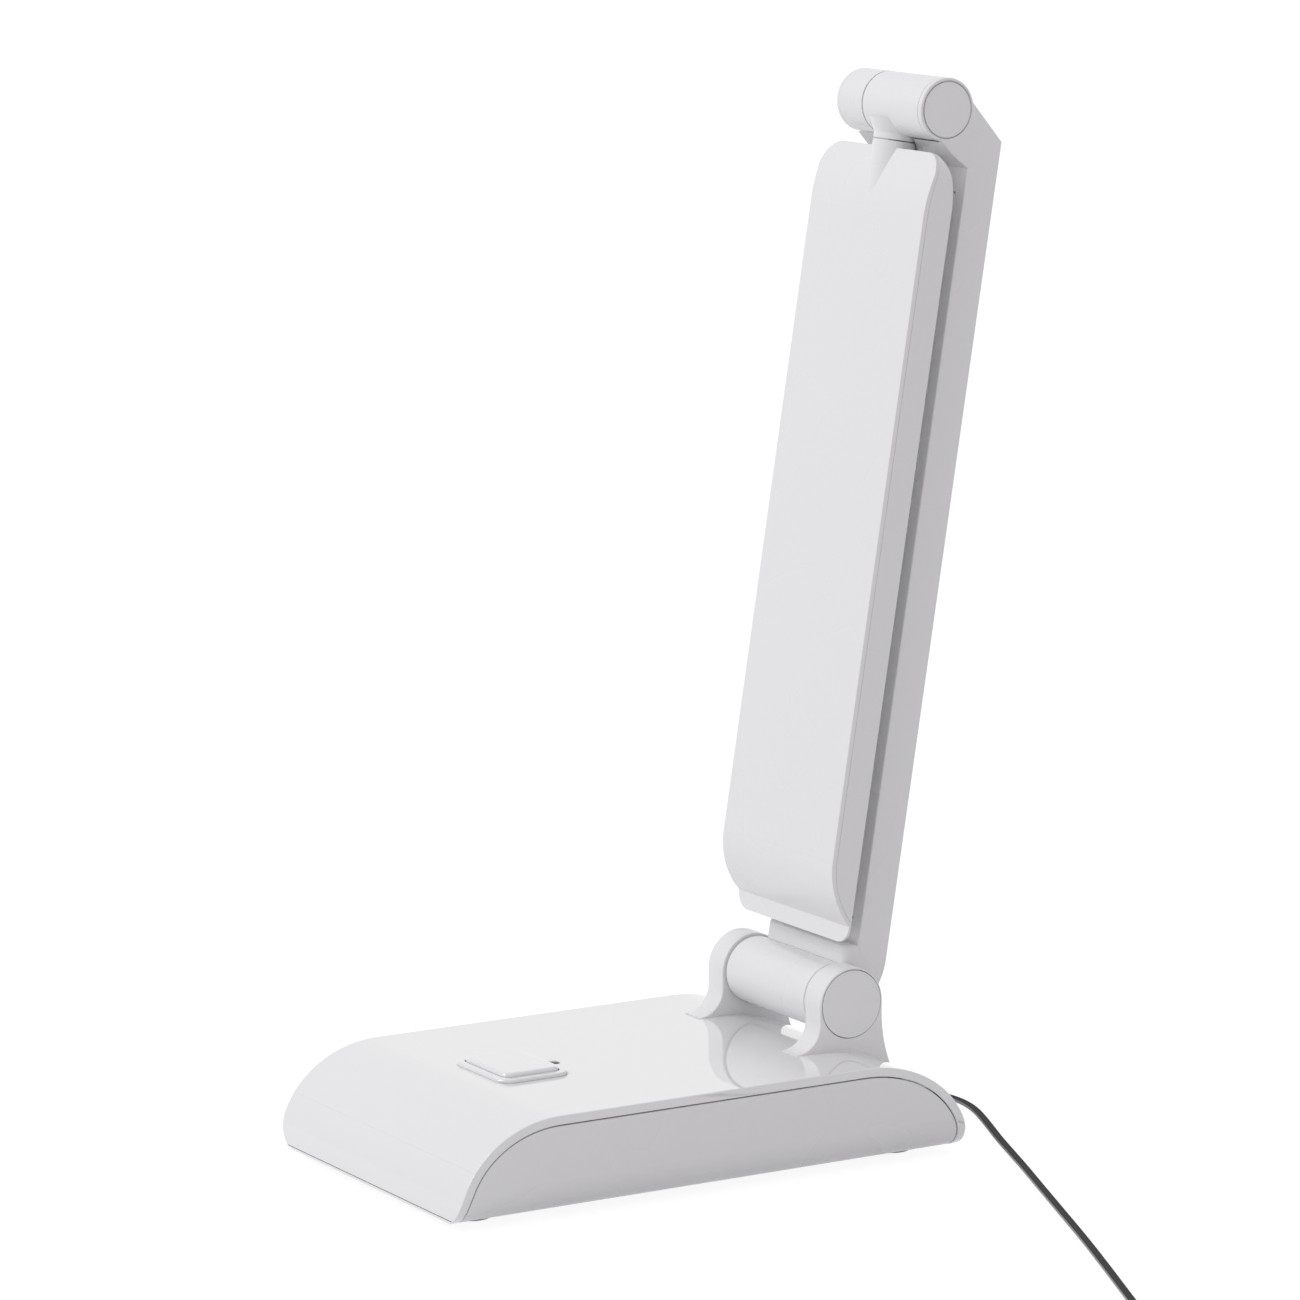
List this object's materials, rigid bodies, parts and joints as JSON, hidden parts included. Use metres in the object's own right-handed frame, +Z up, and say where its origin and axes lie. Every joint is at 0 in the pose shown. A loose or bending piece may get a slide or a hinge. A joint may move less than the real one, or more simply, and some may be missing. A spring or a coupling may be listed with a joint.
{
  "type": "desk lamp",
  "caption": "Folding desk lamp with a weighted base, a tilting arm and a flat head that folds down against the arm, with a push button and a thin cord.",
  "frame": {"origin": "on the table, at the middle of the lamp's box from above without its cord", "axes": "+Z up; -Y is the front, where the button is; +X is the lamp's left side as its user sees it from the back, the side the cord runs to"},
  "size_m": [0.3927, 0.2281, 0.3481],
  "materials": {
    "white_gloss": "glossy moulded plastic",
    "white_satin": "satin moulded plastic",
    "steel": "plain turned or sheared steel",
    "plated_steel": "bright nickel plating",
    "grey_rubber": "soft matt rubber",
    "dark_flex": "smooth flexible jacket",
    "black_plastic": "fine-grained moulding",
    "black_gloss": "smooth glossy moulding",
    "opal": "translucent opal sheet",
    "green_board": "solder-masked laminate",
    "white_board": "white solder-masked laminate",
    "phosphor": "yellow phosphor over white chips"
  },
  "bodies": {
    "base": {"base_cover": "white_gloss", "side_panel_right": "white_satin", "side_panel_left": "white_satin", "base_bottom": "white_satin", "ballast_plate": "steel", "rubber_feet": "grey_rubber", "base_screws": "steel", "control_board": "green_board", "switch_body": "black_gloss", "indicator_lamp": "opal", "indicator_lens": "black_gloss", "button_frame": "white_gloss", "cord_grommet": "dark_flex", "hinge_ear_right": "white_gloss", "hinge_ear_left": "white_gloss", "ear_cap_right": "white_satin", "ear_cap_left": "white_satin", "hinge_shaft": "steel", "hinge_washers": "steel", "cord_tube": "dark_flex", "cord_coil": "dark_flex", "cord_tail": "dark_flex", "coil_tie": "dark_flex", "plug_body": "black_plastic", "plug_shell": "plated_steel", "plug_tongue": "white_satin"},
    "button": {"button_cap": "white_gloss", "switch_plunger": "black_gloss"},
    "arm": {"arm_shell": "white_gloss", "arm_cover": "white_satin", "arm_barrel": "white_gloss", "arm_stiffener": "steel", "arm_wire": "dark_flex", "top_shaft": "steel", "top_cap_right": "white_satin", "top_cap_left": "white_gloss"},
    "head": {"head_barrel": "white_gloss", "swivel_pin": "steel", "head_neck": "white_gloss", "head_shell": "white_gloss", "head_frame": "white_satin", "diffuser": "opal", "led_board": "white_board", "leds": "phosphor"}
  },
  "joints": [
    {"name": "arm_tilt", "type": "hinge", "parent": "base", "child": "arm", "pos_m": [0, 0.04904, 0.0494], "axis": [1, 0, 0], "range_deg": [-15, 95]},
    {"name": "head_swing", "type": "hinge", "parent": "arm", "child": "head", "pos_m": [0, 0.09018, 0.33782], "axis": [-1, 0, 0], "range_deg": [0, 170]},
    {"name": "button_press", "type": "slide", "parent": "base", "child": "button", "axis": [0, 0, -1], "range_m": [0, 0.001], "stiffness_N_per_m": 900}
  ]
}
